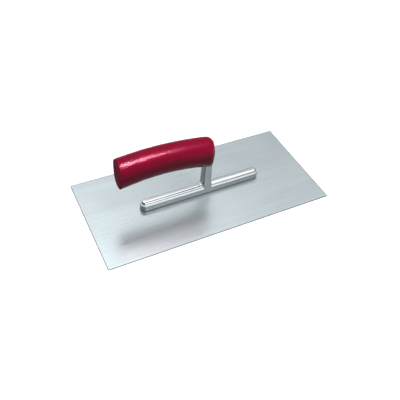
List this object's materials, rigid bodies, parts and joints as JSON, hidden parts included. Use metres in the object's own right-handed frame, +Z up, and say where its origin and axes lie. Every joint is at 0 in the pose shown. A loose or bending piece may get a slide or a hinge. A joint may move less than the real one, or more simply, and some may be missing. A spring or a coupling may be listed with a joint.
{
  "type": "finishing trowel",
  "caption": "Steel finishing trowel: thin flat rectangular blade, riveted cast foot bar with one upright post, and an arched red hand grip held clear above it.",
  "frame": {"origin": "middle of the blade's flat working face, which is also the bottom centre of the whole object", "axes": "+X along the blade's length, towards the post's end of the grip; +Y across the blade; +Z up, away from the working face"},
  "size_m": [0.27, 0.13, 0.0832],
  "materials": {
    "blade_steel": "ground along the blade's length",
    "cast_aluminium": "tumbled casting, satin to bright",
    "rivet_steel": "heads ground flush with the blade",
    "grip_plastic": "glossy, moulded leather grain",
    "zinc_steel": "zinc plated"
  },
  "bodies": {
    "root": {"blade": "blade_steel", "mounting": "cast_aluminium", "rivets": "rivet_steel", "grip": "grip_plastic", "handle_screw": "zinc_steel", "washer": "zinc_steel", "end_plug": "grip_plastic"}
  },
  "joints": []
}
